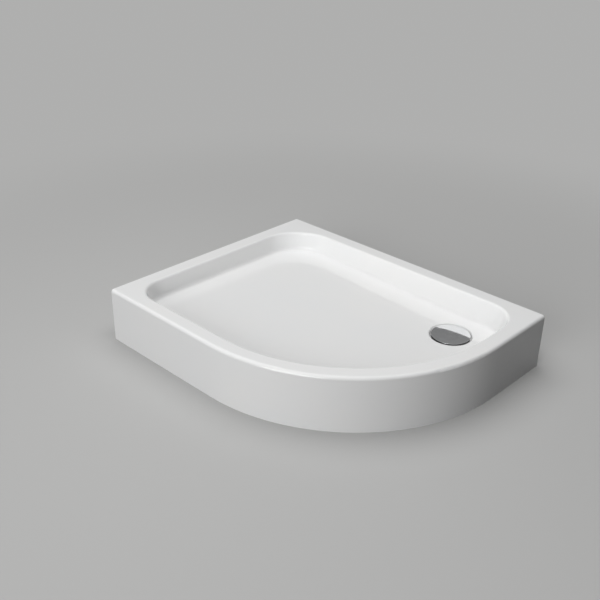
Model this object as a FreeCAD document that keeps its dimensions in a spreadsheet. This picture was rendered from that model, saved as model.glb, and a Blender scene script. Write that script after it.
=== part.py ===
import FreeCAD, Part
import math
import os
import re

import Sketcher

# Offset-quadrant shower tray with an integral front skirt, its levelling feet and its waste.
# Millimetres. The floor is at zero height, +X runs along the long wall, +Y points at the long wall.

sizes = {
    # tray seen from above
    "tray_length": 1000.0,
    "tray_width": 800.0,
    "front_radius": 550.0,
    "rim_width": 50.0,
    "back_corner_radius": 140.0,
    "right_corner_radius": 100.0,
    "left_corner_radius": 90.0,
    # tray in section
    "tray_height": 170.0,
    "basin_depth": 75.0,
    "acrylic": 4.0,
    "wall_draft": 12.0,
    "floor_fall": 1.3,
    "basin_floor_radius": 13.0,
    "rim_edge_radius": 8.0,
    "front_edge_radius": 10.0,
    "wall_edge_radius": 6.0,
    "lip_drop": 45.0,
    "skirt_return": 40.0,
    # drain recess in the basin floor
    "drain_from_end": 197.0,
    "drain_from_wall": 180.0,
    "recess_radius": 61.5,
    "recess_depth": 8.0,
    "recess_flare": 2.0,
    "waste_hole_radius": 45.0,
    # backing under the basin
    "bond_gap": 0.3,
    "laminate": 3.0,
    "laminate_rim_gap": 6.0,
    "laminate_hole_gap": 9.0,
    "board_thickness": 12.0,
    "board_inset": 122.0,
    "board_back_radius": 60.0,
    "board_right_radius": 40.0,
    "board_left_radius": 40.0,
    "board_notch_gap": 18.0,
    # folded rails under the board
    "rail_height": 20.0,
    "rail_web": 34.0,
    "rail_flange": 15.0,
    "rail_sheet": 2.0,
    "rail_end_gap": 4.0,
    "rear_rail_from_wall": 235.0,
    "front_rail_from_edge": 220.0,
    "side_rail_from_end": 235.0,
    "side_rail_from_drain": 195.0,
    "side_rail_length": 130.0,
    "foot_from_rail_end": 32.0,
    # screws from the rails into the board
    "screw_from_rail_end": 12.0,
    "screw_radius": 2.0,
    "screw_head_radius": 4.0,
    "screw_head_height": 2.6,
    "screw_bite": 9.0,
    "screw_gap": 0.15,
    # levelling feet
    "stud_radius": 5.0,
    "stud_gap": 0.08,
    "stud_hole_gap": 0.5,
    "stud_head_room": 3.2,
    "nut_across": 17.0,
    "nut_height": 8.0,
    "jam_nut_height": 5.0,
    "collar_across": 17.0,
    "collar_height": 6.0,
    "pad_radius": 30.0,
    "pad_neck_radius": 13.0,
    "pad_rim_height": 5.0,
    "pad_height": 14.0,
    "pad_floor": 4.0,
    "pad_edge_radius": 1.5,
    "pad_top_gap": 0.3,
    "stud_chamfer": 1.0,
    # waste ring clamped in the recess
    "flange_radius": 57.0,
    "flange_thickness": 2.5,
    "flange_gasket_thickness": 1.0,
    "tray_gasket_thickness": 2.0,
    "gasket_hole_gap": 1.0,
    "waste_bore_radius": 35.5,
    "neck_gap": 0.5,
    "clamp_gap": 0.5,
    "flange_screw_circle": 40.0,
    "flange_screw_radius": 2.0,
    "flange_screw_gap": 0.15,
    "flange_screw_length": 14.0,
    "flange_screw_head_radius": 3.6,
    "flange_screw_head_height": 1.6,
    # trap pot and its outlet socket
    "trap_flange_radius": 58.0,
    "trap_flange_thickness": 5.0,
    "trap_depth": 60.0,
    "trap_wall": 3.0,
    "pot_radius": 52.0,
    "pot_edge_radius": 6.0,
    "chamber_drop": 13.0,
    "ledge_drop": 8.0,
    "outlet_drop": 33.0,
    "branch_root": 12.0,
    "branch_radius": 21.5,
    "branch_bore_radius": 18.0,
    "socket_radius": 28.5,
    "socket_length": 16.5,
    # swivelling outlet
    "ball_reach": 84.0,
    "ball_radius": 25.0,
    "ball_gap": 0.3,
    "spigot_radius": 20.0,
    "spigot_bore_radius": 17.0,
    "spigot_length": 66.0,
    "spigot_chamfer": 1.5,
    "outlet_seal_thickness": 3.0,
    "outlet_nut_wall": 3.2,
    "outlet_nut_lip": 8.0,
    "outlet_nut_mouth": 23.6,
    "outlet_nut_skirt": 13.0,
    "thread_gap": 0.3,
    "grip_radius": 3.0,
    # lift-out cup and its O-ring
    "cup_flange_radius": 35.0,
    "cup_flange_thickness": 3.0,
    "cup_tube_radius": 29.0,
    "cup_wall": 2.5,
    "cup_bottom_gap": 9.0,
    "cup_web": 3.0,
    "cup_hub_radius": 8.5,
    "cup_hub_height": 10.0,
    "cup_hole_circle": 17.5,
    "cup_hole_radius": 6.5,
    "seal_section": 1.7,
    "seal_gap": 0.3,
    "seal_drop": 2.5,
    # waste cover
    "cover_radius": 58.0,
    "cover_proud": 2.0,
    "cover_edge": 2.5,
    "cover_crown": 2.0,
    "cover_sheet": 1.6,
    "cover_rim": 2.0,
    "cover_edge_radius": 1.0,
    "cover_collar_radius": 7.5,
    "cover_pin_radius": 5.0,
    "cover_pin_length": 9.0,
    "pin_gap": 0.08,
}

doc = FreeCAD.newDocument("shower_tray")
sheet = doc.addObject("Spreadsheet::Sheet", "sheet")
for row, (alias, value) in enumerate(sizes.items(), start=1):
    sheet.set(f"A{row}", alias)
    sheet.set(f"B{row}", str(value))
    sheet.setAlias(f"B{row}", alias)
doc.recompute()

nodes = []
word = re.compile(r"[a-z][a-z_]*")
full_turn = 360.0
quarter_turn = 90.0
touch = 0.01
nothing = 1e-9
facing_down = -0.9
hexagon_sides = 6
screw_count = 4
first_screw_turn = 45.0
cup_hole_count = 6
grip_count = 12
up = FreeCAD.Vector(0, 0, 1)
upright = FreeCAD.Rotation()
along_pipe = FreeCAD.Rotation(FreeCAD.Vector(1, 0, 0), -quarter_turn)

# How a sketch numbers its axes, its origin and the points of a curve
x_axis, y_axis = -1, -2
at_start, at_end, at_middle = 1, 2, 3
origin_point = (x_axis, at_start)


# A formula in the sheet's own words, as the document's expressions write it
def bound(formula):
    def cell(match):
        return f"sheet.{match.group()}" if match.group() in sizes else match.group()
    return word.sub(cell, formula)


def size(formula):
    return float(sheet.evalExpression(bound(formula)))


def new_body(label, place=("0", "0", "0"), turned=upright):
    body = doc.addObject("PartDesign::Body", label)
    body.Label = label
    body.Placement = FreeCAD.Placement(FreeCAD.Vector(), turned)
    for axis, formula in zip("xyz", place):
        body.setExpression(f"Placement.Base.{axis}", bound(formula))
    return body


def keep(piece):
    nodes.append(piece)
    return piece


def origin_item(body, role):
    return next(item for item in body.Origin.OriginFeatures if item.Role == role)


def new_sketch(body, role, shift=("0", "0", "0")):
    sketch = body.newObject("Sketcher::SketchObject", f"{body.Name}_sketch")
    sketch.AttachmentSupport = [(origin_item(body, role), "")]
    sketch.MapMode = "FlatFace"
    for axis, formula in zip("xyz", shift):
        sketch.setExpression(f"AttachmentOffset.Base.{axis}", bound(formula))
    return sketch


def constrain(sketch, formula, kind, *where):
    index = sketch.addConstraint(Sketcher.Constraint(kind, *where, size(formula)))
    sketch.setExpression(f"Constraints[{index}]", bound(formula))


# Fixes one point of a sketch at a place given by two formulas, measured from the sketch's origin
def pin_point(sketch, geometry, end, across, along):
    for kind, axis, formula in (("DistanceX", y_axis, across), ("DistanceY", x_axis, along)):
        value = size(formula)
        if abs(value) < nothing:
            sketch.addConstraint(Sketcher.Constraint("PointOnObject", geometry, end, axis))
        elif value > 0:
            constrain(sketch, formula, kind, *origin_point, geometry, end)
        else:
            constrain(sketch, f"-({formula})", kind, geometry, end, *origin_point)


def clockwise_arc(start, end, radius):
    chord = end.sub(start)
    rise = math.sqrt(radius ** 2 - chord.Length ** 2 / 4)
    aside = FreeCAD.Vector(chord.y, -chord.x, 0).normalize()
    middle = start.add(chord.multiply(0.5)).add(aside.multiply(rise))
    first, last = (math.atan2(point.y - middle.y, point.x - middle.x) for point in (end, start))
    return Part.ArcOfCircle(Part.Circle(middle, up, radius), first, last)


# Closed outline through corners given as pairs of formulas. Its sides are straight, apart from a side
# that starts at a corner with a radius too: that one is an arc, clockwise to the next corner, and
# because arcs are drawn anticlockwise it is met at its end first.
def polygon(sketch, corners):
    points = [FreeCAD.Vector(size(corner[0]), size(corner[1]), 0) for corner in corners]
    first_geometry = sketch.GeometryCount
    ends = []
    for index, (across, along, *radius) in enumerate(corners):
        start, end = points[index], points[(index + 1) % len(points)]
        if radius:
            sketch.addGeometry(clockwise_arc(start, end, size(radius[0])), False)
            constrain(sketch, radius[0], "Radius", first_geometry + index)
            ends.append((at_end, at_start))
        else:
            sketch.addGeometry(Part.LineSegment(start, end), False)
            ends.append((at_start, at_end))
    for index, (across, along, *radius) in enumerate(corners):
        follower = (index + 1) % len(corners)
        sketch.addConstraint(Sketcher.Constraint("Coincident", first_geometry + index, ends[index][1],
                                                 first_geometry + follower, ends[follower][0]))
        pin_point(sketch, first_geometry + index, ends[index][0], across, along)
    return sketch


def circles(sketch, radius, centres):
    for across, along in centres:
        middle = FreeCAD.Vector(size(across), size(along), 0)
        index = sketch.addGeometry(Part.Circle(middle, up, size(radius)), False)
        constrain(sketch, radius, "Radius", index)
        pin_point(sketch, index, at_middle, across, along)
    return sketch


# Corners of a hexagon of a given width across its flats
def hexagon(across):
    step = full_turn / hexagon_sides
    reach = f"({across}) / 2 / cos({step / 2})"
    return [(f"{reach} * cos({step * k})", f"{reach} * sin({step * k})") for k in range(hexagon_sides)]


def pad(body, sketch, length, symmetric=False):
    feature = body.newObject("PartDesign::Pad", f"{body.Name}_pad")
    feature.Profile = sketch
    feature.setExpression("Length", bound(length))
    if symmetric:
        feature.SideType = "Symmetric"
    return feature


# Cuts a sketch out of a body and makes sure that something was cut
def pocket(body, sketch, length=None, upwards=False):
    doc.recompute()
    before = body.Shape.Volume
    feature = body.newObject("PartDesign::Pocket", f"{body.Name}_pocket")
    feature.Profile = sketch
    feature.Reversed = upwards
    if length is None:
        feature.Type = "ThroughAll"
        feature.SideType = "Symmetric"
    else:
        feature.setExpression("Length", bound(length))
    doc.recompute()
    if body.Shape.Volume >= before:
        raise RuntimeError(f"{body.Label}: a pocket cut nothing")
    return feature


# Turns a profile about an axis of its sketch, to add to a body or to cut it
def spin(body, corners, kind="Revolution", role="XZ_Plane", shift=("0", "0", "0"), axis="V_Axis"):
    doc.recompute()
    before = body.Shape.Volume if body.Tip else 0
    sketch = polygon(new_sketch(body, role, shift), corners)
    feature = body.newObject(f"PartDesign::{kind}", f"{body.Name}_{kind}")
    feature.Profile = sketch
    feature.ReferenceAxis = (sketch, [axis])
    feature.Angle = full_turn
    doc.recompute()
    if (body.Shape.Volume > before) != (kind == "Revolution"):
        raise RuntimeError(f"{body.Label}: a turned profile changed nothing")
    return feature


def ball(body, kind, radius, place):
    feature = body.newObject(f"PartDesign::{kind}Sphere", f"{body.Name}_ball")
    feature.AttachmentSupport = [(origin_item(body, "XY_Plane"), "")]
    feature.MapMode = "FlatFace"
    feature.setExpression("Radius", bound(radius))
    for axis, formula in zip("xyz", place):
        feature.setExpression(f"AttachmentOffset.Base.{axis}", bound(formula))
    doc.recompute()
    return feature


def pattern(body, feature, count):
    polar = body.newObject("PartDesign::PolarPattern", f"{body.Name}_pattern")
    polar.Originals = [feature]
    polar.Axis = (origin_item(body, "Z_Axis"), [""])
    polar.Angle = full_turn
    polar.Occurrences = count
    body.Tip = polar
    doc.recompute()


# One node of identical solids, copies of a modelled form set at places in plan
def group(label, form, places):
    doc.recompute()
    copies = []
    for across, along in places:
        copy = form.Shape.copy()
        copy.translate(FreeCAD.Vector(size(across), size(along), 0))
        copies.append(copy)
    piece = doc.addObject("Part::Feature", label)
    piece.Label = label
    piece.Shape = Part.makeCompound(copies)
    return keep(piece)


def chosen_edges(shape, wanted):
    return [f"Edge{index}" for index, edge in enumerate(shape.Edges, start=1) if wanted(edge)]


def fillet(body, radius, wanted):
    doc.recompute()
    base = body.Tip
    names = chosen_edges(base.Shape, wanted)
    if not names:
        raise RuntimeError(f"{body.Label}: no edge to round")
    feature = body.newObject("PartDesign::Fillet", f"{body.Name}_fillet")
    feature.Base = (base, names)
    feature.setExpression("Radius", bound(radius))
    doc.recompute()
    return feature


def combine(body, kind, others):
    feature = body.newObject("PartDesign::Boolean", f"{body.Name}_{kind}")
    feature.setObjects(others)
    feature.Type = kind
    doc.recompute()
    return feature


def at_height(edge, level):
    return abs(edge.BoundBox.ZMin - level) < touch and abs(edge.BoundBox.ZMax - level) < touch


def is_arc(edge):
    return not edge.Degenerated and isinstance(edge.Curve, Part.Circle)


# Plan outline of the tray moved inwards by an inset: two walls, the straight end and the round front.
# A corner radius of zero leaves that corner sharp.
def outline_sketch(body, inset, radii, level):
    sketch = new_sketch(body, "XY_Plane", ("0", "0", level))
    half_x = f"tray_length / 2 - ({inset})"
    half_y = f"tray_width / 2 - ({inset})"
    front = f"front_radius - ({inset})"
    x, y, bend = size(half_x), size(half_y), size(front)
    back, right, left = (size(radius) for radius in radii)

    def line(start, end):
        return Part.LineSegment(FreeCAD.Vector(*start, 0), FreeCAD.Vector(*end, 0))

    def arc(middle, radius, quarter):
        circle = Part.Circle(FreeCAD.Vector(*middle, 0), up, max(radius, touch))
        start = math.radians(quarter_turn * quarter)
        return Part.ArcOfCircle(circle, start, start + math.radians(quarter_turn))

    runs = [("Horizontal", line((left - x, -y), (x - bend, -y)), None),
            ("Arc", arc((x - bend, bend - y), bend, 3), front),
            ("Vertical", line((x, bend - y), (x, y - right)), None),
            ("Arc", arc((x - right, y - right), right, 0), radii[1]),
            ("Horizontal", line((x - right, y), (back - x, y)), None),
            ("Arc", arc((back - x, y - back), back, 1), radii[0]),
            ("Vertical", line((-x, y - back), (-x, left - y)), None),
            ("Arc", arc((left - x, left - y), left, 2), radii[2])]
    runs = [run for run in runs if run[2] is None or size(run[2]) > 0]
    for kind, curve, radius in runs:
        index = sketch.addGeometry(curve, False)
        if kind == "Arc":
            constrain(sketch, radius, "Radius", index)
        else:
            sketch.addConstraint(Sketcher.Constraint(kind, index))
    for index, run in enumerate(runs):
        follower = (index + 1) % len(runs)
        smooth = "Arc" in (run[0], runs[follower][0])
        meet = "Tangent" if smooth else "Coincident"
        sketch.addConstraint(Sketcher.Constraint(meet, index, at_end, follower, at_start))
    straight = [index for index, run in enumerate(runs) if run[0] != "Arc"]
    constrain(sketch, half_y, "DistanceY", straight[0], at_start, *origin_point)
    constrain(sketch, half_x, "DistanceX", *origin_point, straight[1], at_start)
    constrain(sketch, half_y, "DistanceY", *origin_point, straight[2], at_start)
    constrain(sketch, half_x, "DistanceX", straight[3], at_start, *origin_point)
    return sketch


sharp = ("0", "0", "0")
wider_than_tray = [("-tray_length", "-tray_width"), ("tray_length", "-tray_width"),
                   ("tray_length", "tray_width"), ("-tray_length", "tray_width")]
drain_x = "(tray_length / 2 - drain_from_end)"
drain_y = "(tray_width / 2 - drain_from_wall)"
floor_level = "(tray_height - basin_depth)"
recess_floor = "(tray_height - basin_depth - recess_depth)"
board_top = f"({floor_level} - acrylic - bond_gap - laminate)"
board_bottom = f"({board_top} - board_thickness)"
trap_top = f"({recess_floor} - acrylic - tray_gasket_thickness)"
neck_radius = "(waste_hole_radius - neck_gap)"
flange_bottom = f"({recess_floor} + flange_gasket_thickness)"
flange_top = f"({flange_bottom} + flange_thickness)"
ledge_level = f"({trap_top} - ledge_drop)"
cup_top = f"({ledge_level} + cup_flange_thickness)"
outlet_level = f"({trap_top} - outlet_drop)"
notch_reach = "(trap_flange_radius + board_notch_gap)"
pot_bottom = f"({trap_top} - trap_depth)"
ledge_bore = "(cup_tube_radius + 2 * seal_gap + 2 * seal_section)"
at_drain = (drain_x, drain_y, "0")
at_ball = (drain_x, f"{drain_y} + ball_reach", outlet_level)


# Block of the tray's plan, up to the rim, with its front edge rounded
def tray_block(label, inset, top):
    body = new_body(label)
    pad(body, outline_sketch(body, inset, sharp, "0"), top)
    level = size(top)
    wall_x = -size(f"tray_length / 2 - ({inset})")
    wall_y = size(f"tray_width / 2 - ({inset})")

    def on_wall(edge):
        box = edge.BoundBox
        return abs(box.XMax - wall_x) < touch or abs(box.YMin - wall_y) < touch

    fillet(body, f"front_edge_radius - ({inset})", lambda edge: at_height(edge, level) and not on_wall(edge))
    return body, on_wall


# Direction that a face looks in, at the middle of its surface
def heading(face):
    first_u, last_u, first_v, last_v = face.ParameterRange
    return face.normalAt((first_u + last_u) / 2, (first_v + last_v) / 2)


# Solid that fills the basin, grown outwards by a skin
def basin_form(label, skin):
    body = new_body(label)
    grown = f"({skin}) / cos(wall_draft)"
    radii = [f"{corner}_corner_radius + {grown}" for corner in ("back", "right", "left")]
    block = pad(body, outline_sketch(body, f"rim_width - {grown}", radii, "tray_height"),
                f"basin_depth + 2 * ({skin}) + recess_depth")
    block.Reversed = True
    doc.recompute()
    faces = list(enumerate(block.Shape.Faces, start=1))
    rim_level = size("tray_height")
    draft = body.newObject("PartDesign::Draft", f"{label}_draft")
    draft.Base = (block, [f"Face{index}" for index, face in faces if abs(face.normalAt(0, 0).z) < touch])
    draft.NeutralPlane = (block, [f"Face{index}" for index, face in faces
                                  if abs(face.CenterOfMass.z - rim_level) < touch])
    draft.setExpression("Angle", bound("wall_draft"))
    doc.recompute()
    if body.Shape.Volume > block.Shape.Volume:
        draft.Reversed = True
    cut_floor(body, skin)
    lower_faces = [face for face in body.Shape.Faces if heading(face).z < facing_down]
    floor = max(lower_faces, key=lambda face: face.Area)
    middles = [edge.CenterOfMass for edge in floor.Edges if not edge.Degenerated and not edge.isSeam(floor)]
    fillet(body, f"basin_floor_radius + ({skin})",
           lambda edge: any(edge.CenterOfMass.distanceToPoint(middle) < touch for middle in middles))
    return body


# The floor falls to the drain from all sides, as a very shallow cone
def cut_floor(body, skin):
    level = f"{floor_level} - ({skin})"
    reach = "(tray_length + tray_width)"
    under = f"{level} - basin_depth"
    spin(body, [("0", under), (reach, under), (reach, f"{level} + {reach} * tan(floor_fall)"), ("0", level)],
         kind="Groove", shift=(drain_x, "0", f"-{drain_y}"))


# Round sinking for the waste, flared where it meets the floor
def recess_form(label, skin):
    body = new_body(label, at_drain)
    wall = f"recess_radius + ({skin})"
    low = f"{recess_floor} - ({skin})"
    brim = f"{floor_level} - recess_flare - ({skin})"
    spin(body, [("0", low), (wall, low), (wall, brim), (f"{wall} + recess_depth", f"{brim} + recess_depth"),
                ("0", f"{brim} + recess_depth")])
    return body


# Acrylic sheet formed to rim, basin and recess, with a skirt at the front and short lips at the walls
def make_tray_shell():
    shell, on_wall = tray_block("tray_shell", "0", "tray_height")
    fillet(shell, "wall_edge_radius", lambda edge: on_wall(edge) and edge.BoundBox.ZMax > touch)
    combine(shell, "Cut", [basin_form("basin_form", "0")])
    top = size("tray_height")
    rounded = "(rim_width + front_edge_radius) / 2"
    reach_x, reach_y = size(f"tray_length / 2 - {rounded}"), size(f"tray_width / 2 - {rounded}")

    def at_basin(edge):
        box = edge.BoundBox
        within = box.XMin > -reach_x and box.XMax < reach_x and box.YMin > -reach_y and box.YMax < reach_y
        return within and at_height(edge, top)

    fillet(shell, "rim_edge_radius", at_basin)
    combine(shell, "Cut", [recess_form("recess_form", "0")])
    hollow, _ = tray_block("hollow_form", "acrylic", "tray_height - acrylic")
    combine(hollow, "Cut", [basin_form("underside_form", "acrylic"),
                            recess_form("recess_underside_form", "acrylic")])
    combine(shell, "Cut", [hollow])
    pocket(shell, circles(new_sketch(shell, "XY_Plane"), "waste_hole_radius", [(drain_x, drain_y)]))
    open_wall_sides(shell)
    return keep(shell)


# The sides at the walls keep only a lip, and the skirt turns the corner by a short return
def open_wall_sides(shell):
    past_x, past_y = "-tray_length / 2 - rim_width", "tray_width / 2 + rim_width"
    in_x, in_y = "rim_width / 2 - tray_length / 2", "tray_width / 2 - rim_width / 2"
    start, end = "skirt_return - tray_width / 2", "tray_length / 2 - skirt_return"
    sketch = polygon(new_sketch(shell, "XY_Plane"),
                     [(past_x, start), (in_x, start), (in_x, in_y),
                      (end, in_y), (end, past_y), (past_x, past_y)])
    pocket(shell, sketch, "tray_height - lip_drop", upwards=True)


# Block of the board's plan, notched for the trap
def board_form(label, level, thickness):
    body = new_body(label)
    radii = ("board_back_radius", "board_right_radius", "board_left_radius")
    pad(body, outline_sketch(body, "board_inset", radii, level), thickness)
    near_x, near_y = f"{drain_x} - {notch_reach}", f"{drain_y} - {notch_reach}"
    notch = polygon(new_sketch(body, "XY_Plane"),
                    [(near_x, near_y), ("tray_length", near_y),
                     ("tray_length", "tray_width"), (near_x, "tray_width")])
    pocket(body, notch)
    return body


# Laminate bonded under the basin, with a level bed for the board. The bed's block reaches up into the
# basin and is cut back to the laminate's upper side with the rest.
def make_laminate():
    body = basin_form("laminate_backing", "acrylic + bond_gap + laminate")
    combine(body, "Fuse", [board_form("bed_form", board_top, "basin_depth / 2")])
    combine(body, "Cut", [basin_form("bond_form", "acrylic + bond_gap")])
    lid = polygon(new_sketch(body, "XY_Plane", ("0", "0", "tray_height")), wider_than_tray)
    pocket(body, lid, "acrylic + laminate_rim_gap")
    hole_radius = "recess_radius + acrylic + laminate_hole_gap"
    pocket(body, circles(new_sketch(body, "XY_Plane"), hole_radius, [(drain_x, drain_y)]))
    return keep(body)


half_web = "rail_web / 2"
rail_reach = "(rail_web / 2 + rail_flange)"
board_left = "(board_inset - tray_length / 2)"
rear_rail_y = "(tray_width / 2 - rear_rail_from_wall)"
front_rail_y = "(front_rail_from_edge - tray_width / 2)"
front_rail_end = ("tray_length / 2 - front_radius + sqrt((front_radius - board_inset)^2"
                  f" - (front_radius - tray_width / 2 - {front_rail_y} + {rail_reach})^2)")

# Each rail: its two ends along the tray and its place across it
rails = {
    "rail_rear": (f"{board_left} + rail_end_gap", f"{drain_x} - {notch_reach} - rail_end_gap", rear_rail_y),
    "rail_front": (f"{board_left} + rail_end_gap", f"{front_rail_end} - rail_end_gap", front_rail_y),
    "rail_side": ("tray_length / 2 - side_rail_from_end - side_rail_length / 2",
                  "tray_length / 2 - side_rail_from_end + side_rail_length / 2",
                  f"{drain_y} - side_rail_from_drain"),
}


def feet_of(rail):
    low, high, across = rails[rail]
    if rail == "rail_side":
        return [(f"(({low}) + ({high})) / 2", across)]
    return [(f"({low}) + foot_from_rail_end", across), (f"({high}) - foot_from_rail_end", across)]


def screws_of(rail):
    low, high, across = rails[rail]
    return [(along, f"{across} + ({side}) * ({half_web} + rail_flange / 2)")
            for along in (f"({low}) + screw_from_rail_end", f"({high}) - screw_from_rail_end")
            for side in (-1, 1)]


feet = [foot for rail in rails for foot in feet_of(rail)]
screw_places = [place for rail in rails for place in screws_of(rail)]


def make_base_board():
    body = board_form("base_board", board_bottom, "board_thickness")
    underside = new_sketch(body, "XY_Plane", ("0", "0", board_bottom))
    holes = circles(underside, "screw_radius + screw_gap", screw_places)
    pocket(body, holes, "screw_bite + screw_gap", upwards=True)
    return keep(body)


# Folded channel, open upwards, with a flange along each side under the board
def make_rail(label):
    low, high, across = rails[label]
    body = new_body(label, (f"(({low}) + ({high})) / 2", across, board_bottom))
    inner, under = f"({half_web} - rail_sheet)", "(rail_sheet - rail_height)"
    right = [(inner, under), (inner, "0"), (rail_reach, "0"), (rail_reach, "-rail_sheet"),
             (half_web, "-rail_sheet"), (half_web, "-rail_height")]
    left = [(f"-{across_web}", level) for across_web, level in reversed(right)]
    length = f"({high}) - ({low})"
    pad(body, polygon(new_sketch(body, "YZ_Plane"), right + left), length, symmetric=True)
    half = f"({length}) / 2"
    fold_level, shortest = -size("rail_height"), size(half)
    fillet(body, "rail_sheet", lambda edge: at_height(edge, fold_level) and edge.Length > shortest)
    if label == "rail_side":
        studs = [("0", "0")]
    else:
        studs = [(f"{side} * ({half} - foot_from_rail_end)", "0") for side in (-1, 1)]
    pocket(body, circles(new_sketch(body, "XY_Plane"), "stud_radius + stud_hole_gap", studs))
    screws = [(f"{end} * ({half} - screw_from_rail_end)", f"{side} * ({half_web} + rail_flange / 2)")
              for end in (-1, 1) for side in (-1, 1)]
    pocket(body, circles(new_sketch(body, "XY_Plane"), "screw_radius + screw_gap", screws))
    return keep(body)


def make_rail_screws():
    form = new_body("rail_screw_form", ("0", "0", board_bottom))
    head = "(-rail_sheet - screw_head_height)"
    shoulder = "(-rail_sheet - screw_head_height / 2)"
    spin(form, [("0", head), ("screw_head_radius / 2", head), ("screw_head_radius", shoulder),
                ("screw_head_radius", "-rail_sheet"), ("screw_radius", "-rail_sheet"),
                ("screw_radius", "screw_bite - screw_radius"), ("0", "screw_bite")])
    return group("rail_screws", form, screw_places)


def hex_nut(label, level, height):
    body = new_body(label, ("0", "0", level))
    sketch = polygon(new_sketch(body, "XY_Plane"), hexagon("nut_across"))
    circles(sketch, "stud_radius + stud_gap", [("0", "0")])
    pad(body, sketch, height)
    return body


def make_nuts():
    web = f"{board_bottom} - rail_height"
    group("rail_nuts", hex_nut("rail_nut_form", f"{web} + rail_sheet", "nut_height"), feet)
    group("jam_nuts", hex_nut("jam_nut_form", f"{web} - jam_nut_height", "jam_nut_height"), feet)


# Levelling foot: a stud with a hexagon collar, turning in a broad pad
def make_foot(number, place):
    stud = new_body(f"foot_stud_{number}", (*place, "0"))
    low, high = "(pad_floor + pad_top_gap)", f"({board_bottom} - stud_head_room)"
    spin(stud, [("0", low), ("stud_radius", low), ("stud_radius", f"{high} - stud_chamfer"),
                ("stud_radius - stud_chamfer", high), ("0", high)])
    collar = new_sketch(stud, "XY_Plane", ("0", "0", "pad_height + pad_top_gap"))
    pad(stud, polygon(collar, hexagon("collar_across")), "collar_height")
    keep(stud)
    foot = new_body(f"foot_pad_{number}", (*place, "0"))
    bore = "stud_radius + stud_gap"
    spin(foot, [("0", "0"), ("pad_radius", "0"), ("pad_radius", "pad_rim_height"),
                ("pad_neck_radius", "pad_height"), (bore, "pad_height"), (bore, "pad_floor"),
                ("0", "pad_floor")])
    rim = size("pad_radius")
    fillet(foot, "pad_edge_radius", lambda edge: is_arc(edge) and abs(edge.Curve.Radius - rim) < touch)
    keep(foot)


def ring(label, inner, outer, low, high):
    body = new_body(label, at_drain)
    spin(body, [(inner, low), (outer, low), (outer, high), (inner, high)])
    return keep(body)


# Four screw holes round the drain, on the diagonals
def screw_holes(body, depth, level):
    place = (f"flange_screw_circle * cos({first_screw_turn})",
             f"flange_screw_circle * sin({first_screw_turn})")
    sketch = new_sketch(body, "XY_Plane", ("0", "0", level))
    hole = circles(sketch, "flange_screw_radius + flange_screw_gap", [place])
    pattern(body, pocket(body, hole, depth), screw_count)


def make_waste_ring():
    ring("flange_gasket", "waste_hole_radius + gasket_hole_gap", "flange_radius", recess_floor, flange_bottom)
    ring("tray_gasket", "waste_hole_radius + gasket_hole_gap", "trap_flange_radius", trap_top,
         f"{recess_floor} - acrylic")
    flange = ring("waste_flange", "waste_bore_radius", "flange_radius", flange_bottom, flange_top)
    screw_holes(flange, "flange_thickness", flange_top)
    form = new_body("flange_screw_form", ("0", "0", flange_top))
    spin(form, [("0", "-flange_screw_length"), ("flange_screw_radius", "-flange_screw_length"),
                ("flange_screw_radius", "0"), ("flange_screw_head_radius", "0"),
                ("flange_screw_head_radius", "flange_screw_head_height / 2"),
                ("flange_screw_head_radius / 2", "flange_screw_head_height"),
                ("0", "flange_screw_head_height")])
    turns = [first_screw_turn + full_turn / screw_count * k for k in range(screw_count)]
    group("flange_screws", form, [(f"{drain_x} + flange_screw_circle * cos({turned})",
                                   f"{drain_y} + flange_screw_circle * sin({turned})") for turned in turns])


# Low trap pot: a neck through the tray, a water chamber, and a socket for the swivelling outlet
def make_trap_body():
    body = new_body("trap_body", at_drain)
    shoulder = f"{trap_top} - trap_flange_thickness"
    neck_top = f"({flange_bottom} - clamp_gap)"
    spin(body, [("0", pot_bottom), ("pot_radius", pot_bottom), ("pot_radius", shoulder),
                ("trap_flange_radius", shoulder), ("trap_flange_radius", trap_top), (neck_radius, trap_top),
                (neck_radius, neck_top), ("0", neck_top)])
    low = size(pot_bottom)
    fillet(body, "pot_edge_radius", lambda edge: at_height(edge, low))
    socket_end = "(ball_reach - outlet_seal_thickness / 2)"
    inside_pot = "(pot_radius - branch_root)"
    socket_start = f"{socket_end} - socket_length"
    branch = [(inside_pot, "0"), (inside_pot, "branch_radius"), (socket_start, "branch_radius"),
              (socket_start, "socket_radius"), (socket_end, "socket_radius"), (socket_end, "0")]
    spin(body, branch, role="YZ_Plane", shift=("0", outlet_level, "0"), axis="H_Axis")
    inner = "pot_radius - trap_wall"
    chamber = [("0", f"{pot_bottom} + trap_wall"), (inner, f"{pot_bottom} + trap_wall"),
               (inner, f"{trap_top} - chamber_drop"), (ledge_bore, f"{trap_top} - chamber_drop"),
               (ledge_bore, ledge_level), ("waste_bore_radius", ledge_level), ("waste_bore_radius", neck_top),
               ("0", neck_top)]
    spin(body, chamber, kind="Groove")
    bore = [(inside_pot, "0"), (inside_pot, "branch_bore_radius"),
            ("ball_reach", "branch_bore_radius"), ("ball_reach", "0")]
    spin(body, bore, kind="Groove", role="YZ_Plane", shift=("0", outlet_level, "0"), axis="H_Axis")
    ball(body, "Subtractive", "ball_radius + ball_gap", ("0", "ball_reach", outlet_level))
    screw_holes(body, "flange_screw_length", neck_top)
    return keep(body)


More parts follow.
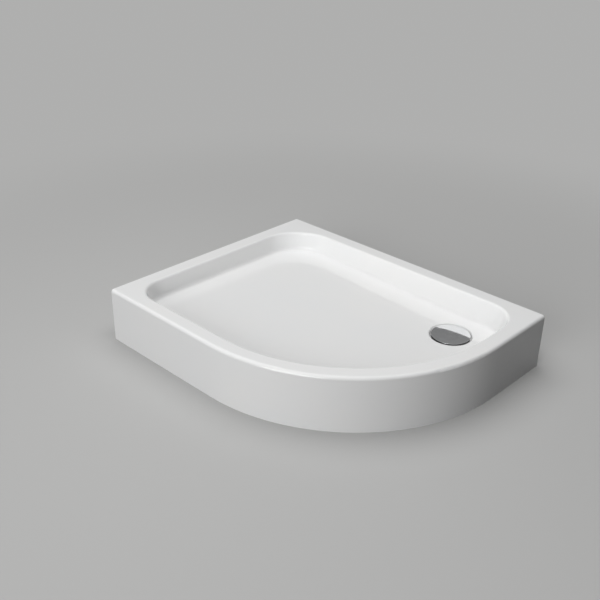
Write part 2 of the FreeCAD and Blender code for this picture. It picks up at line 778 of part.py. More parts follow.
# Lift-out cup: a dip tube hung from a flange, closed by a holed web with a hub for the cover's pin
def make_trap_cup():
    cup = new_body("trap_cup", at_drain)
    low = f"{pot_bottom} + trap_wall + cup_bottom_gap"
    bore = "cover_pin_radius + pin_gap"
    inner = "cup_tube_radius - cup_wall"
    spin(cup, [(bore, cup_top), ("cup_flange_radius", cup_top), ("cup_flange_radius", ledge_level),
               ("cup_tube_radius", ledge_level), ("cup_tube_radius", low), (inner, low),
               (inner, f"{cup_top} - cup_web"), ("cup_hub_radius", f"{cup_top} - cup_web"),
               ("cup_hub_radius", f"{cup_top} - cup_hub_height"), (bore, f"{cup_top} - cup_hub_height")])
    top = new_sketch(cup, "XY_Plane", ("0", "0", cup_top))
    hole = circles(top, "cup_hole_radius", [("cup_hole_circle", "0")])
    pattern(cup, pocket(cup, hole, "cup_hub_height"), cup_hole_count)
    keep(cup)
    seal = doc.addObject("Part::Torus", "cup_seal")
    seal.setExpression("Radius1", bound("cup_tube_radius + seal_gap + seal_section"))
    seal.setExpression("Radius2", bound("seal_section"))
    for axis, formula in zip("xyz", (drain_x, drain_y, f"{ledge_level} - seal_drop")):
        seal.setExpression(f"Placement.Base.{axis}", bound(formula))
    keep(seal)


# Domed cover on a collar that stands on the cup's hub, with a pin in the hub
def make_drain_cover():
    cover = new_body("drain_cover", at_drain)
    edge_top = f"({floor_level} + cover_proud)"
    crown = f"({edge_top} + cover_crown)"
    dome = "(cover_radius^2 + cover_crown^2) / (2 * cover_crown)"
    pin_end = f"{cup_top} - cover_pin_length"
    spin(cover, [("0", crown, dome), ("cover_radius", edge_top), ("cover_radius", f"{edge_top} - cover_edge"),
                 ("cover_radius - cover_rim", f"{edge_top} - cover_edge"),
                 ("cover_radius - cover_rim", f"{edge_top} - cover_sheet"),
                 ("cover_collar_radius", f"{crown} - cover_sheet"),
                 ("cover_collar_radius", cup_top), ("cover_pin_radius", cup_top),
                 ("cover_pin_radius", pin_end), ("0", pin_end)])
    level = size(edge_top)
    fillet(cover, "cover_edge_radius", lambda edge: at_height(edge, level))
    return keep(cover)


# Outlet pieces lie along the pipe: their own Z axis points at the long wall, from the ball's middle
def make_outlet():
    half_seal = "outlet_seal_thickness / 2"
    seal = new_body("outlet_seal", at_ball, along_pipe)
    spin(seal, [("ball_radius + ball_gap", f"-{half_seal}"), ("socket_radius", f"-{half_seal}"),
                ("socket_radius", half_seal), ("ball_radius + ball_gap", half_seal)])
    keep(seal)
    nut = new_body("outlet_nut", at_ball, along_pipe)
    thread = "(socket_radius + thread_gap)"
    outer = f"({thread} + outlet_nut_wall)"
    lip, skirt = f"{half_seal} + outlet_nut_lip", f"-{half_seal} - outlet_nut_skirt"
    spin(nut, [("outlet_nut_mouth", half_seal), (thread, half_seal), (thread, skirt), (outer, skirt),
               (outer, lip), ("outlet_nut_mouth", lip)])
    ball(nut, "Subtractive", "ball_radius + ball_gap", ("0", "0", "0"))
    grip = circles(new_sketch(nut, "XY_Plane"), "grip_radius", [(f"{outer} + grip_radius / 2", "0")])
    pattern(nut, pocket(nut, grip), grip_count)
    keep(nut)
    spigot = new_body("outlet_spigot", at_ball, along_pipe)
    spin(spigot, [("0", "0"), ("spigot_radius", "0"), ("spigot_radius", "spigot_length - spigot_chamfer"),
                  ("spigot_radius - spigot_chamfer", "spigot_length"), ("0", "spigot_length")])
    ball(spigot, "Additive", "ball_radius", ("0", "0", "0"))
    pocket(spigot, circles(new_sketch(spigot, "XY_Plane"), "spigot_bore_radius", [("0", "0")]))
    keep(spigot)


make_tray_shell()
make_laminate()
make_base_board()
for rail in rails:
    make_rail(rail)
make_rail_screws()
make_nuts()
for number, place in enumerate(feet, start=1):
    make_foot(number, place)
make_waste_ring()
make_trap_body()
make_trap_cup()
make_drain_cover()
make_outlet()

doc.recompute()
for item in doc.Objects:
    if "Invalid" in item.State or "Error" in item.State:
        raise RuntimeError(f"{item.Label}: {item.State}")
for piece in nodes:
    if piece.Shape.isNull() or not piece.Shape.isValid():
        raise RuntimeError(f"{piece.Label}: bad shape")
os.makedirs("parts", exist_ok=True)
for piece in nodes:
    piece.Shape.exportStep(f"parts/{piece.Label}.step")
    print(piece.Label, len(piece.Shape.Solids), round(piece.Shape.Volume))
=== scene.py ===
import math

import bmesh
import bpy
from mathutils import Matrix, Vector


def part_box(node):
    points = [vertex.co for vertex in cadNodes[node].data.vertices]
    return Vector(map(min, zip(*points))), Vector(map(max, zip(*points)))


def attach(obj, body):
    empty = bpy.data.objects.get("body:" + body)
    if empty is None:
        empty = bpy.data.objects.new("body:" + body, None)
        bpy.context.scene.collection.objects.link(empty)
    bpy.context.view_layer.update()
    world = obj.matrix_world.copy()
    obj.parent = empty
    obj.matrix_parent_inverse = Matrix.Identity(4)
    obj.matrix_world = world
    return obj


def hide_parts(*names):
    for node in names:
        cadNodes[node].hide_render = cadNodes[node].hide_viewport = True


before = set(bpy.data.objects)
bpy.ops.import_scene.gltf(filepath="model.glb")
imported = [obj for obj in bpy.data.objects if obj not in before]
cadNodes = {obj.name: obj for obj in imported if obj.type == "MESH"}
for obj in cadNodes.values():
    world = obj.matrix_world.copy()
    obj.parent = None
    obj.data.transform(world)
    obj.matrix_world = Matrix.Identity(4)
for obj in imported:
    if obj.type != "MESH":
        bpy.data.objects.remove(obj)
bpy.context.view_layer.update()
drainLow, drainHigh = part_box("drain_cover")
drainMiddle = (drainLow + drainHigh) / 2
print("frame loaded with", len(cadNodes), "nodes")


# node helpers: the owner of the nodes is a material or the world
def setInputs(owner, node, inputs):
    for name, value in inputs.items():
        if isinstance(value, bpy.types.NodeSocket):
            owner.node_tree.links.new(value, node.inputs[name])
        else:
            node.inputs[name].default_value = value


def addNode(owner, kind, inputs=None, **settings):
    node = owner.node_tree.nodes.new(kind)
    for name, value in settings.items():
        setattr(node, name, value)
    setInputs(owner, node, inputs or {})
    return node


def combine(owner, operation, first, second):
    return addNode(owner, "ShaderNodeMath", {0: first, 1: second}, operation=operation).outputs["Value"]


# a tone is its place on the ramp and its colour
def blendTones(owner, factor, *tones):
    node = addNode(owner, "ShaderNodeValToRGB", {"Fac": factor})
    elements = node.color_ramp.elements
    while len(elements) < len(tones):
        elements.new(1.0)
    for element, (position, colour) in zip(elements, tones):
        element.position = position
        element.color = (*colour, 1.0)
    return node.outputs["Color"]


def mixShaders(owner, factor, first, second):
    return addNode(owner, "ShaderNodeMixShader", {0: factor, 1: first.outputs[0], 2: second.outputs[0]})


# finish helpers
def startFinish(name, **fixed):
    material = bpy.data.materials.new(name)
    material.use_nodes = True
    shader = material.node_tree.nodes["Principled BSDF"]
    setInputs(material, shader, fixed)
    place = addNode(material, "ShaderNodeTexCoord").outputs["Object"]
    return material, shader, place


# a noise is given by its scale and its detail
def grain(material, place, scale, detail):
    return addNode(material, "ShaderNodeTexNoise", {
        "Vector": place, "Scale": scale, "Detail": detail}).outputs["Fac"]


# a texture mapping turns first and stretches then, so the long grains lie in the turned direction
def turnedGrain(material, place, noise, stretch, turn):
    along = addNode(material, "ShaderNodeMapping", {
        "Vector": place, "Rotation": [math.radians(angle) for angle in turn], "Scale": stretch},
        vector_type="TEXTURE")
    return grain(material, along.outputs["Vector"], *noise)


# rings about the drain, as a lathe leaves them
def turnedRings(material, place, scale, detail):
    centred = addNode(material, "ShaderNodeMapping", {
        "Vector": place, "Location": (-drainMiddle.x, -drainMiddle.y, 0.0), "Scale": (1.0, 1.0, 0.0)})
    reach = addNode(material, "ShaderNodeVectorMath", {0: centred.outputs["Vector"]}, operation="LENGTH")
    return addNode(material, "ShaderNodeTexNoise", {
        "W": reach.outputs["Value"], "Scale": scale, "Detail": detail}, noise_dimensions="1D").outputs["Fac"]


def cells(material, place, scale):
    return addNode(material, "ShaderNodeTexVoronoi", {"Vector": place, "Scale": scale}).outputs["Color"]


noiseReach = {"From Min": 0.3, "From Max": 0.7}  # where nearly all of a noise's values lie


# colour, and a roughness that follows the wear between its two limits
def coat(material, shader, colour, wear, values):
    low, high = values["roughness"]
    rough = addNode(material, "ShaderNodeMapRange", {
        "Value": wear, **noiseReach, "To Min": low, "To Max": high})
    setInputs(material, shader, {"Base Color": colour, "Roughness": rough.outputs["Result"]})


def relief(material, shader, height, values):
    bump = addNode(material, "ShaderNodeBump", {
        "Height": height, "Distance": values["depth"], "Strength": values["strength"]})
    setInputs(material, shader, {"Normal": bump.outputs["Normal"]})


# glossy sheet of the tray
acrylic = {"white": (0.35, (0.885, 0.89, 0.89)), "warmer": (0.65, (0.895, 0.895, 0.89)), "cloud": (5.0, 2.0),
           "wipe": (34.0, 4.0), "roughness": (0.025, 0.055), "peel": (620.0, 1.0), "depth": 0.000012,
           "strength": 0.05, "refraction": 1.49}


def makeAcrylic():
    material, shader, place = startFinish("glossyAcrylic", IOR=acrylic["refraction"])
    cloud = grain(material, place, *acrylic["cloud"])
    wipe = grain(material, place, *acrylic["wipe"])
    coat(material, shader, blendTones(material, cloud, acrylic["white"], acrylic["warmer"]), wipe, acrylic)
    relief(material, shader, grain(material, place, *acrylic["peel"]), acrylic)
    return material


# chopped glass strands in resin, under the basin
laminate = {"resin": (0.46, (0.50, 0.47, 0.36)), "strand": (0.68, (0.74, 0.72, 0.63)), "noise": (26.0, 3.0),
            "roughness": (0.32, 0.6), "depth": 0.0006, "strength": 0.5, "stretch": (1.5, 0.07, 0.12),
            "turns": ((10.0, 15.0, 8.0), (40.0, -35.0, 52.0), (-25.0, 40.0, 97.0), (65.0, 20.0, 141.0))}


def makeLaminate():
    material, shader, place = startFinish("glassLaminate")
    layers = [turnedGrain(material, place, laminate["noise"], laminate["stretch"], turn)
              for turn in laminate["turns"]]
    strands = layers[0]
    for layer in layers[1:]:
        strands = combine(material, "MAXIMUM", strands, layer)
    coat(material, shader, blendTones(material, strands, laminate["resin"], laminate["strand"]), strands,
         laminate)
    relief(material, shader, strands, laminate)
    return material


# pressed wood chips of the stiffening board
chipboard = {"dark": (0.25, (0.23, 0.14, 0.075)), "middle": (0.52, (0.42, 0.29, 0.17)),
             "pale": (0.8, (0.60, 0.46, 0.29)), "chipScale": 230.0, "chipShare": 0.75, "dust": (900.0, 3.0),
             "dustShare": 0.3, "roughness": (0.7, 0.92), "depth": 0.0004, "strength": 0.45}


def makeChipboard():
    material, shader, place = startFinish("chipboard")
    chips = cells(material, place, chipboard["chipScale"])
    dust = grain(material, place, *chipboard["dust"])
    chipTone = combine(material, "MULTIPLY", chips, chipboard["chipShare"])
    dustTone = combine(material, "MULTIPLY", dust, chipboard["dustShare"])
    tone = combine(material, "ADD", chipTone, dustTone)
    wood = blendTones(material, tone, chipboard["dark"], chipboard["middle"], chipboard["pale"])
    coat(material, shader, wood, dust, chipboard)
    relief(material, shader, tone, chipboard)
    return material


# hot-dipped zinc with its crystal spangle, on the rails
galvanised = {"dull": (0.2, (0.36, 0.38, 0.40)), "bright": (0.8, (0.62, 0.64, 0.66)), "spangleScale": 95.0,
              "haze": (40.0, 4.0), "roughness": (0.28, 0.5)}


def makeGalvanised():
    material, shader, place = startFinish("galvanisedSteel", Metallic=1.0)
    spangle = cells(material, place, galvanised["spangleScale"])
    haze = grain(material, place, *galvanised["haze"])
    coat(material, shader, blendTones(material, spangle, galvanised["dull"], galvanised["bright"]), haze,
         galvanised)
    return material


# bright zinc plating of studs, nuts and screws
zinc = {"dull": (0.35, (0.52, 0.53, 0.55)), "bright": (0.65, (0.70, 0.71, 0.73)), "patch": (260.0, 4.0),
        "roughness": (0.22, 0.4), "depth": 0.00002, "strength": 0.2}


def makeZinc():
    material, shader, place = startFinish("zincPlating", Metallic=1.0)
    patch = grain(material, place, *zinc["patch"])
    coat(material, shader, blendTones(material, patch, zinc["dull"], zinc["bright"]), patch, zinc)
    relief(material, shader, patch, zinc)
    return material


# moulded plastics: spark-eroded grain over a slightly uneven colour
plastics = {
    "footPlastic": {"deep": (0.35, (0.018, 0.018, 0.02)), "light": (0.65, (0.034, 0.034, 0.036)),
                    "roughness": (0.38, 0.55)},
    "trapPlastic": {"deep": (0.35, (0.66, 0.67, 0.67)), "light": (0.65, (0.74, 0.745, 0.74)),
                    "roughness": (0.28, 0.42)},
    "cupPlastic": {"deep": (0.35, (0.47, 0.49, 0.50)), "light": (0.65, (0.55, 0.565, 0.575)),
                   "roughness": (0.25, 0.4)},
    "nutPlastic": {"deep": (0.35, (0.20, 0.21, 0.22)), "light": (0.65, (0.27, 0.28, 0.29)),
                   "roughness": (0.35, 0.5)}}
moulding = {"flow": (22.0, 3.0), "grain": (1500.0, 2.0), "depth": 0.00003, "strength": 0.25}


def makePlastic(name):
    values = plastics[name]
    material, shader, place = startFinish(name)
    flow = grain(material, place, *moulding["flow"])
    coat(material, shader, blendTones(material, flow, values["deep"], values["light"]), flow, values)
    relief(material, shader, grain(material, place, *moulding["grain"]), moulding)
    return material


# matt black rubber of gaskets and seals
rubber = {"deep": (0.4, (0.012, 0.012, 0.012)), "bloom": (0.7, (0.035, 0.034, 0.033)), "patch": (70.0, 5.0),
          "roughness": (0.6, 0.82), "depth": 0.00004, "strength": 0.3}


def makeRubber():
    material, shader, place = startFinish("sealRubber")
    patch = grain(material, place, *rubber["patch"])
    coat(material, shader, blendTones(material, patch, rubber["deep"], rubber["bloom"]), patch, rubber)
    relief(material, shader, patch, rubber)
    return material


# turned steel of the clamping ring and its screws
flangeSteel = {"dull": (0.3, (0.50, 0.50, 0.49)), "bright": (0.7, (0.64, 0.64, 0.63)), "rings": (2400.0, 3.0),
               "roughness": (0.2, 0.38), "depth": 0.00001, "strength": 0.3}


def makeFlangeSteel():
    material, shader, place = startFinish("turnedSteel", Metallic=1.0)
    rings = turnedRings(material, place, *flangeSteel["rings"])
    coat(material, shader, blendTones(material, rings, flangeSteel["dull"], flangeSteel["bright"]), rings,
         flangeSteel)
    relief(material, shader, rings, flangeSteel)
    return material


# polished top of the waste cover; below its edge the side is painted dark, a painted shade of the gap under
# the cover
coverChrome = {"dull": (0.35, (0.86, 0.87, 0.88)), "bright": (0.65, (0.91, 0.92, 0.93)), "haze": (60.0, 4.0),
               "roughness": (0.04, 0.1), "rings": (900.0, 3.0), "depth": 0.000003, "strength": 0.1,
               "side": (0.09, 0.09, 0.095), "paintedShadeStart": 0.0022, "paintedShadeEnd": 0.0027}


def makeCoverChrome():
    material, shader, place = startFinish("polishedChrome", Metallic=1.0)
    haze = grain(material, place, *coverChrome["haze"])
    polished = blendTones(material, haze, coverChrome["dull"], coverChrome["bright"])
    # painted shade: below the top edge the cover's side gets a dark colour in place of the shadow in the gap
    # under the cover
    height = addNode(material, "ShaderNodeSeparateXYZ", {"Vector": place}).outputs["Z"]
    below = combine(material, "SUBTRACT", drainHigh.z, height)
    side = addNode(material, "ShaderNodeMapRange", {
        "Value": below, "From Min": coverChrome["paintedShadeStart"], "From Max": coverChrome["paintedShadeEnd"]})
    colour = addNode(material, "ShaderNodeMix", {  # its colour sockets are 6 and 7, and 2 on the way out
        0: side.outputs["Result"], 6: polished, 7: (*coverChrome["side"], 1.0)}, data_type="RGBA")
    coat(material, shader, colour.outputs[2], haze, coverChrome)
    relief(material, shader, turnedRings(material, place, *coverChrome["rings"]), coverChrome)
    return material


finishes = {"acrylic_white": makeAcrylic(), "laminate": makeLaminate(), "chipboard": makeChipboard(),
            "galvanised": makeGalvanised(), "zinc_fastener": makeZinc(), "seal_rubber": makeRubber(),
            "flange_steel": makeFlangeSteel(), "cover_chrome": makeCoverChrome(),
            "foot_plastic": makePlastic("footPlastic"), "trap_plastic": makePlastic("trapPlastic"),
            "cup_plastic": makePlastic("cupPlastic"), "nut_plastic": makePlastic("nutPlastic")}
for node in cadNodes.values():
    for materialSlot in node.material_slots:
        materialSlot.material = finishes[materialSlot.material.name]
print("finishes on CAD nodes:", len(finishes))

# modelling helpers
weldReach = 0.000002  # points nearer than this are one point
levelReach = 0.00001  # an edge this near to a level lies on it
smoothAngle = 35.0  # edges that turn more stay sharp


def makeActive(piece):
    bpy.ops.object.select_all(action="DESELECT")
    piece.select_set(True)
    bpy.context.view_layer.objects.active = piece


def namePiece(piece, name):
    piece.name = name
    piece.data.name = name
    return piece


def addPrimitive(kind, name, **settings):
    bpy.ops.object.select_all(action="DESELECT")
    getattr(bpy.ops.mesh, f"primitive_{kind}_add")(**settings)
    bpy.ops.object.transform_apply(location=True, rotation=True, scale=True)
    return namePiece(bpy.context.object, name)


def addCylinder(name, sides, radius, low, high, turn=0.0):
    return addPrimitive("cylinder", name, vertices=sides, radius=radius, depth=high - low,
                        location=(0.0, 0.0, (low + high) / 2), rotation=(0.0, 0.0, turn))


def editPiece(piece, wanted, selectBy="EDGE"):
    makeActive(piece)
    bpy.ops.object.mode_set(mode="EDIT")
    bpy.ops.mesh.select_mode(type=selectBy)
    bpy.ops.mesh.select_all(action="DESELECT")
    mesh = bmesh.from_edit_mesh(piece.data)
    for item in {"EDGE": mesh.edges, "FACE": mesh.faces, "VERT": mesh.verts}[selectBy]:
        item.select_set(wanted(item))
    bmesh.update_edit_mesh(piece.data)


def leaveEdit():
    bpy.ops.object.mode_set(mode="OBJECT")


def bevelEdges(piece, wanted, width, segments=1):
    editPiece(piece, wanted)
    bpy.ops.mesh.bevel(offset=width, segments=segments)
    leaveEdit()


# a boolean leaves doubled points where corners coincide, so they are welded
def shapeWith(piece, tool, operation):
    makeActive(piece)
    modifier = piece.modifiers.new(operation, "BOOLEAN")
    modifier.object = tool
    modifier.operation = operation
    modifier.solver = "EXACT"
    bpy.ops.object.modifier_apply(modifier=modifier.name)
    bpy.data.objects.remove(tool)
    editPiece(piece, lambda vertex: True, "VERT")
    bpy.ops.mesh.remove_doubles(threshold=weldReach)
    leaveEdit()


def joinPieces(pieces, name):
    makeActive(pieces[0])
    for piece in pieces:
        piece.select_set(True)
    bpy.ops.object.join()
    return namePiece(bpy.context.object, name)


def copyAt(piece, name, middle):
    copy = piece.copy()
    copy.data = piece.data.copy()
    bpy.context.scene.collection.objects.link(copy)
    copy.location = (middle.x, middle.y, 0.0)
    return namePiece(copy, name)


def finishPiece(piece, body, slotName, stoodFor):
    makeActive(piece)
    bpy.ops.object.transform_apply(location=True, rotation=True, scale=True)
    bpy.ops.object.shade_smooth_by_angle(angle=math.radians(smoothAngle))
    piece.data.materials.clear()
    piece.data.materials.append(finishes[slotName])
    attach(piece, body)
    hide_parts(stoodFor)


# middles in plan of a node's separate solids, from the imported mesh
def solidMiddles(nodeName, reach):
    groups = []
    for vertex in cadNodes[nodeName].data.vertices:
        flat = vertex.co.xy
        group = next((g for g in groups if (g[0] - flat).length < reach), None)
        if group is None:
            groups.append([flat.copy()])
        else:
            group.append(flat.copy())
    middles = []
    for group in groups:
        low = Vector((min(p.x for p in group), min(p.y for p in group)))
        high = Vector((max(p.x for p in group), max(p.y for p in group)))
        middles.append((low + high) / 2)
    return middles


# one piece for a whole node of equal fasteners
def placeFasteners(model, name, nodeName, slotName, apart):
    copies = [copyAt(model, f"{name}{index}", middle)
              for index, middle in enumerate(solidMiddles(nodeName, apart))]
    bpy.data.objects.remove(model)
    finishPiece(joinPieces(copies, name), "tray", slotName, nodeName)


def isLevel(edge, level):
    return all(abs(vertex.co.z - level) < levelReach for vertex in edge.verts)


# hexagon block with its corners turned off, as on nuts and stud collars
hexagon = {"halfSide": 30.0, "chamferSlope": 30.0, "blankSides": 72, "endNormal": 0.9}


def hexBlock(name, across, low, high, chamfer):
    halfSide = math.radians(hexagon["halfSide"])
    corner = across / 2 / math.cos(halfSide)
    rise = chamfer * math.tan(math.radians(hexagon["chamferSlope"]))
    shrink = (corner - chamfer) / corner
    block = addCylinder(name, 6, corner, low, high, halfSide)
    blank = addCylinder(name + "Blank", hexagon["blankSides"], corner, low + rise, high - rise)
    for side in (-1, 1):
        editPiece(blank, lambda face: face.normal.z * side > hexagon["endNormal"], "FACE")
        bpy.ops.mesh.extrude_region_move(TRANSFORM_OT_translate={"value": (0.0, 0.0, side * rise)})
        bpy.ops.transform.resize(value=(shrink, shrink, 1.0))
        leaveEdit()
    shapeWith(block, blank, "INTERSECT")
    return block


# one tooth of the profile wound up the axis, cut level at both ends
def threadedRod(name, low, high, values):
    pitch, crest, spareTurns = values["pitch"], values["crest"], values["spareTurns"]
    rod = addPrimitive("plane", name, size=pitch)
    editPiece(rod, lambda face: True, "FACE")
    bpy.ops.mesh.delete(type="ONLY_FACE")
    mesh = bmesh.from_edit_mesh(rod.data)
    mesh.verts.ensure_lookup_table()
    chain = [mesh.verts[index] for index in (0, 1, 3, 2)]  # in order round the plane
    closing = [edge for edge in mesh.edges if {chain[0], chain[3]} == set(edge.verts)]
    bmesh.ops.delete(mesh, geom=closing, context="EDGES_FACES")
    rises = (0.0, (pitch - crest) / 2, (pitch + crest) / 2, pitch)
    reaches = (values["minorRadius"], values["majorRadius"], values["majorRadius"], values["minorRadius"])
    for vertex, rise, reach in zip(chain, rises, reaches):
        vertex.co = (reach, 0.0, low - spareTurns * pitch + rise)
    bmesh.update_edit_mesh(rod.data)
    leaveEdit()
    winding = rod.modifiers.new("winding", "SCREW")
    winding.screw_offset = pitch
    winding.iterations = math.ceil((high - low) / pitch) + 2 * spareTurns
    winding.steps = winding.render_steps = values["steps"]
    bpy.ops.object.modifier_apply(modifier=winding.name)
    for level, cut in ((low, {"clear_inner": True}), (high, {"clear_outer": True})):
        editPiece(rod, lambda vertex: True, "VERT")
        bpy.ops.mesh.remove_doubles(threshold=weldReach)
        bpy.ops.mesh.select_all(action="SELECT")
        bpy.ops.mesh.bisect(plane_co=(0.0, 0.0, level), plane_no=(0.0, 0.0, 1.0), use_fill=True,
                            threshold=weldReach, **cut)
        bpy.ops.mesh.select_all(action="SELECT")
        bpy.ops.mesh.normals_make_consistent(inside=False)
        leaveEdit()
    return rod


# levelling studs: plain end in the pad, hexagon collar for the spanner, thread up through the rail
stud = {"pitch": 0.0015, "crest": 0.0002, "majorRadius": 0.00497, "minorRadius": 0.00405, "steps": 32,
        "spareTurns": 2, "across": 0.017, "collarLow": 0.0143, "collarHigh": 0.0203, "collarChamfer": 0.0011,
        "sides": 40, "shankRadius": 0.005, "endBevel": 0.0006, "sunk": 0.0002}
studNodes = sorted(name for name in cadNodes if name.startswith("foot_stud_"))


def makeStud():
    low, high = (corner.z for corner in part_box(studNodes[0]))
    collarLow, collarHigh, sunk = stud["collarLow"], stud["collarHigh"], stud["sunk"]
    shank = addCylinder("studShank", stud["sides"], stud["shankRadius"], low, collarLow + sunk)
    bevelEdges(shank, lambda edge: isLevel(edge, low), stud["endBevel"])
    collar = hexBlock("studCollar", stud["across"], collarLow, collarHigh, stud["collarChamfer"])
    rod = threadedRod("studThread", collarHigh - sunk, high, stud)
    return joinPieces([rod, collar, shank], "studModel")


def makeStuds():
    model = makeStud()
    for number, nodeName in enumerate(studNodes, start=1):
        low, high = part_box(nodeName)
        piece = copyAt(model, f"levellingStud{number}", (low + high) / 2)
        finishPiece(piece, nodeName, "zinc_fastener", nodeName)
    bpy.data.objects.remove(model)


# nuts on the studs: tall ones in the rails, flat lock nuts below
nut = {"across": 0.017, "chamfer": 0.0012, "boreRadius": 0.00508, "boreSides": 48, "mouth": 0.0005,
       "over": 0.001, "nearBore": 1.01, "apart": 0.03}


def makeNuts(name, nodeName):
    low, high = (corner.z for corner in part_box(nodeName))
    model = hexBlock(name + "Model", nut["across"], low, high, nut["chamfer"])
    bore = addCylinder(name + "Bore", nut["boreSides"], nut["boreRadius"],
                       low - nut["over"], high + nut["over"])
    shapeWith(model, bore, "DIFFERENCE")
    inner = nut["boreRadius"] * nut["nearBore"]

    def atMouth(edge):
        onBore = all(vertex.co.xy.length < inner for vertex in edge.verts)
        return onBore and (isLevel(edge, low) or isLevel(edge, high))

    bevelEdges(model, atMouth, nut["mouth"])
    placeFasteners(model, name, nodeName, "zinc_fastener", nut["apart"])


# cross-recessed screws: pan heads under the rails, and in the clamping ring
screws = {"railScrews": {"node": "rail_screws", "finish": "zinc_fastener", "headUp": False, "radius": 0.002,
                         "headRadius": 0.004, "headHeight": 0.0026, "slotLength": 0.0046,
                         "slotWidth": 0.0009, "slotDepth": 0.0013},
          "flangeScrews": {"node": "flange_screws", "finish": "flange_steel", "headUp": True, "radius": 0.002,
                           "headRadius": 0.0036, "headHeight": 0.0016, "slotLength": 0.0042,
                           "slotWidth": 0.0008, "slotDepth": 0.0009}}
screwShape = {"headSides": 40, "shankSides": 24, "roundShare": 0.55, "roundSteps": 5, "tipBevel": 0.0008,
              "apart": 0.02}


def makeScrews(name, values):
    low, high = (corner.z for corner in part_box(values["node"]))
    top, tip = (high, low) if values["headUp"] else (low, high)
    seat = top - values["headHeight"] if values["headUp"] else top + values["headHeight"]
    head = addCylinder(name + "Head", screwShape["headSides"], values["headRadius"], *sorted((top, seat)))
    bevelEdges(head, lambda edge: isLevel(edge, top), values["headHeight"] * screwShape["roundShare"],
               screwShape["roundSteps"])
    for turned in (0.0, 90.0):  # half of each cutter is in the head
        cutter = addPrimitive("cube", name + "Slot", size=1.0, location=(0.0, 0.0, top),
                              rotation=(0.0, 0.0, math.radians(turned)),
                              scale=(values["slotLength"], values["slotWidth"], 2 * values["slotDepth"]))
        shapeWith(head, cutter, "DIFFERENCE")
    shank = addCylinder(name + "Shank", screwShape["shankSides"], values["radius"], *sorted((seat, tip)))
    bevelEdges(shank, lambda edge: isLevel(edge, tip), screwShape["tipBevel"])
    model = joinPieces([head, shank], name + "Model")
    placeFasteners(model, name, values["node"], values["finish"], screwShape["apart"])


makeStuds()
makeNuts("railNuts", "rail_nuts")
makeNuts("lockNuts", "jam_nuts")
for screwName, screwValues in screws.items():
    makeScrews(screwName, screwValues)
print("studs, nuts and screws modelled")


# camera, gloss and glass see the pale floor and backdrop, and a diffuse bounce doesn't
def seenRays(owner):
    path = addNode(owner, "ShaderNodeLightPath").outputs
    lookedAt = combine(owner, "MAXIMUM", path["Is Camera Ray"], path["Is Glossy Ray"])
    return combine(owner, "MAXIMUM", lookedAt, path["Is Transmission Ray"])


# pale floor that fades to the backdrop's tone, clear from below, with an oval window under the tray
floorValues = {"size": 60.0, "drop": 0.0002, "pale": (0.53, 0.53, 0.525), "dim": (0.03, 0.03, 0.03),
               "far": (0.43, 0.43, 0.426), "fadeStart": 0.7, "fadeEnd": 2.3,
               "windowMiddle": (-0.04, 0.03, 0.0), "windowReach": (0.44, 0.36, 1.0)}


# the window lets light from below through, and the camera sees the floor there as elsewhere
def underTray(material, place):
    measured = addNode(material, "ShaderNodeMapping", {
        "Vector": place, "Location": floorValues["windowMiddle"], "Scale": floorValues["windowReach"]},
        vector_type="TEXTURE").outputs["Vector"]
    reach = addNode(material, "ShaderNodeVectorMath", {0: measured}, operation="LENGTH").outputs["Value"]
    looking = addNode(material, "ShaderNodeLightPath").outputs["Is Camera Ray"]
    return combine(material, "MULTIPLY", combine(material, "LESS_THAN", reach, 1.0),
                   combine(material, "SUBTRACT", 1.0, looking))


def makeFloor():
    floor = addPrimitive("plane", "studioFloor", size=floorValues["size"],
                         location=(0.0, 0.0, -floorValues["drop"]))
    material = bpy.data.materials.new("studioFloor")
    material.use_nodes = True
    material.node_tree.nodes.remove(material.node_tree.nodes["Principled BSDF"])
    seen = seenRays(material)
    dim = addNode(material, "ShaderNodeBsdfDiffuse", {"Color": (*floorValues["dim"], 1.0)})
    pale = addNode(material, "ShaderNodeBsdfDiffuse", {"Color": (*floorValues["pale"], 1.0)})
    place = addNode(material, "ShaderNodeTexCoord").outputs["Object"]
    reach = addNode(material, "ShaderNodeVectorMath", {0: place}, operation="LENGTH").outputs["Value"]
    distance = addNode(material, "ShaderNodeMapRange", {
        "Value": reach, "From Min": floorValues["fadeStart"], "From Max": floorValues["fadeEnd"]},
        interpolation_type="SMOOTHSTEP")
    away = combine(material, "MULTIPLY", distance.outputs["Result"], seen)
    glow = addNode(material, "ShaderNodeEmission", {"Color": (*floorValues["far"], 1.0)})
    faded = mixShaders(material, away, mixShaders(material, seen, dim, pale), glow)
    below = addNode(material, "ShaderNodeNewGeometry").outputs["Backfacing"]
    clear = addNode(material, "ShaderNodeBsdfTransparent")
    through = combine(material, "MAXIMUM", below, underTray(material, place))
    shown = mixShaders(material, through, faded, clear)
    setInputs(material, material.node_tree.nodes["Material Output"], {"Surface": shown.outputs[0]})
    floor.data.materials.append(material)


# light for diffuse surfaces from behind and below, and the backdrop's tones by height for all that is seen
studioValues = {"ambient": 0.01, "backLight": 0.3, "backSide": (-0.707, 0.707, 0.0), "underLight": 0.65,
                "backdropTop": 0.22, "low": (0.40, (0.2, 0.2, 0.2)), "high": (0.85, (0.26, 0.26, 0.26)),
                "overhead": (1.0, (0.8, 0.8, 0.8))}


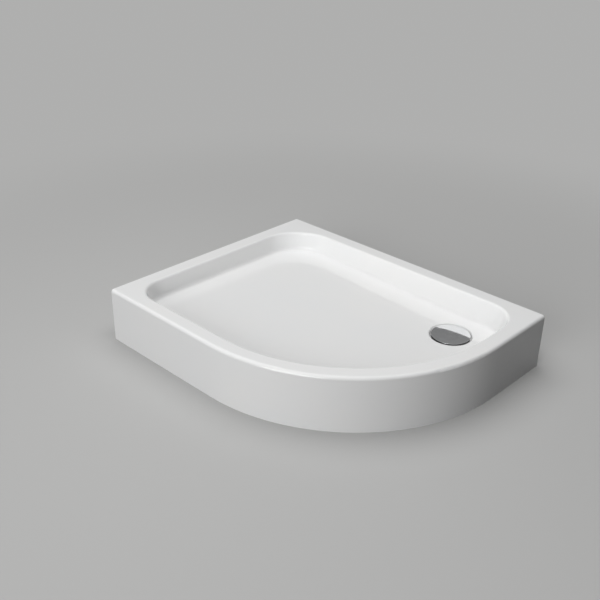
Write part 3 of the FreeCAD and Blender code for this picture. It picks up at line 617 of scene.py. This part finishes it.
def makeWorld():
    world = bpy.data.worlds.new("softStudio")
    bpy.context.scene.world = world
    world.use_nodes = True
    world.node_tree.nodes.remove(world.node_tree.nodes["Background"])
    place = addNode(world, "ShaderNodeTexCoord").outputs["Generated"]
    rise = addNode(world, "ShaderNodeSeparateXYZ", {"Vector": place}).outputs["Z"]
    backwards = addNode(world, "ShaderNodeVectorMath", {0: place, 1: studioValues["backSide"]},
                        operation="DOT_PRODUCT").outputs["Value"]
    fill = addNode(world, "ShaderNodeMapRange", {
        "Value": backwards, "To Min": studioValues["ambient"], "To Max": studioValues["backLight"]})
    under = combine(world, "MULTIPLY", combine(world, "LESS_THAN", rise, 0.0), studioValues["underLight"])
    light = addNode(world, "ShaderNodeBackground", {
        "Color": (1.0, 1.0, 1.0, 1.0), "Strength": combine(world, "MAXIMUM", fill.outputs["Result"], under)})
    horizon = (studioValues["backdropTop"], floorValues["far"])
    tones = blendTones(world, rise, horizon, studioValues["low"], studioValues["high"],
                       studioValues["overhead"])
    backdrop = addNode(world, "ShaderNodeBackground", {"Color": tones})
    mixed = mixShaders(world, seenRays(world), light, backdrop)
    setInputs(world, world.node_tree.nodes["World Output"], {"Surface": mixed.outputs[0]})


# bearing runs from -Y towards +X, height is above the horizon, level is the light on a facing surface,
# and a lamp that isn't mirrored doesn't show in gloss
lamps = {"keyLamp": {"bearing": 13.0, "height": 16.0, "distance": 6.0, "size": 4.2, "level": 0.69,
                     "mirrored": True},
         "topLamp": {"bearing": 262.0, "height": 83.0, "distance": 3.5, "size": 4.2, "level": 0.81,
                     "mirrored": False}}


# unit direction from the tray towards a lamp or the camera
def outwards(bearing, height):
    flat = math.cos(height)
    return Vector((math.sin(bearing) * flat, -math.cos(bearing) * flat, math.sin(height)))


def makeLamp(name, values):
    towards = outwards(math.radians(values["bearing"]), math.radians(values["height"]))
    bpy.ops.object.light_add(type="AREA", location=towards * values["distance"])
    lamp = bpy.context.object
    lamp.name = name
    lamp.rotation_euler = towards.to_track_quat("Z", "Y").to_euler()
    lamp.data.shape = "DISK"
    lamp.data.size = values["size"]
    lamp.data.energy = values["level"] * (math.pi * values["distance"]) ** 2
    lamp.visible_glossy = values["mirrored"]


# found from the tray's corners in the photograph
cameraValues = {"azimuth": 43.267, "elevation": 27.830, "roll": 1.261, "distance": 2.6451, "aside": -0.0679,
                "raised": 0.1557, "focalPixels": 874.8, "framePixels": 600.0, "sensor": 36.0}


def makeCamera():
    azimuth = math.radians(cameraValues["azimuth"])
    elevation = math.radians(cameraValues["elevation"])
    roll = math.radians(cameraValues["roll"])
    back = outwards(azimuth, elevation)
    level = Vector((math.cos(azimuth), math.sin(azimuth), 0.0))
    plumb = back.cross(level)
    right = level * math.cos(roll) + plumb * math.sin(roll)
    up = plumb * math.cos(roll) - level * math.sin(roll)
    place = back * cameraValues["distance"] + right * cameraValues["aside"] + up * cameraValues["raised"]
    bpy.ops.object.camera_add()
    camera = bpy.context.object
    camera.name = "photoCamera"
    camera.matrix_world = Matrix.Translation(place) @ Matrix((right, up, back)).transposed().to_4x4()
    camera.data.sensor_width = cameraValues["sensor"]
    camera.data.lens = cameraValues["focalPixels"] / cameraValues["framePixels"] * cameraValues["sensor"]
    bpy.context.scene.camera = camera


makeFloor()
makeWorld()
for lampName, lampValues in lamps.items():
    makeLamp(lampName, lampValues)
makeCamera()
bpy.context.scene.view_settings.view_transform = "Standard"
print("stage, lamps and camera ready")
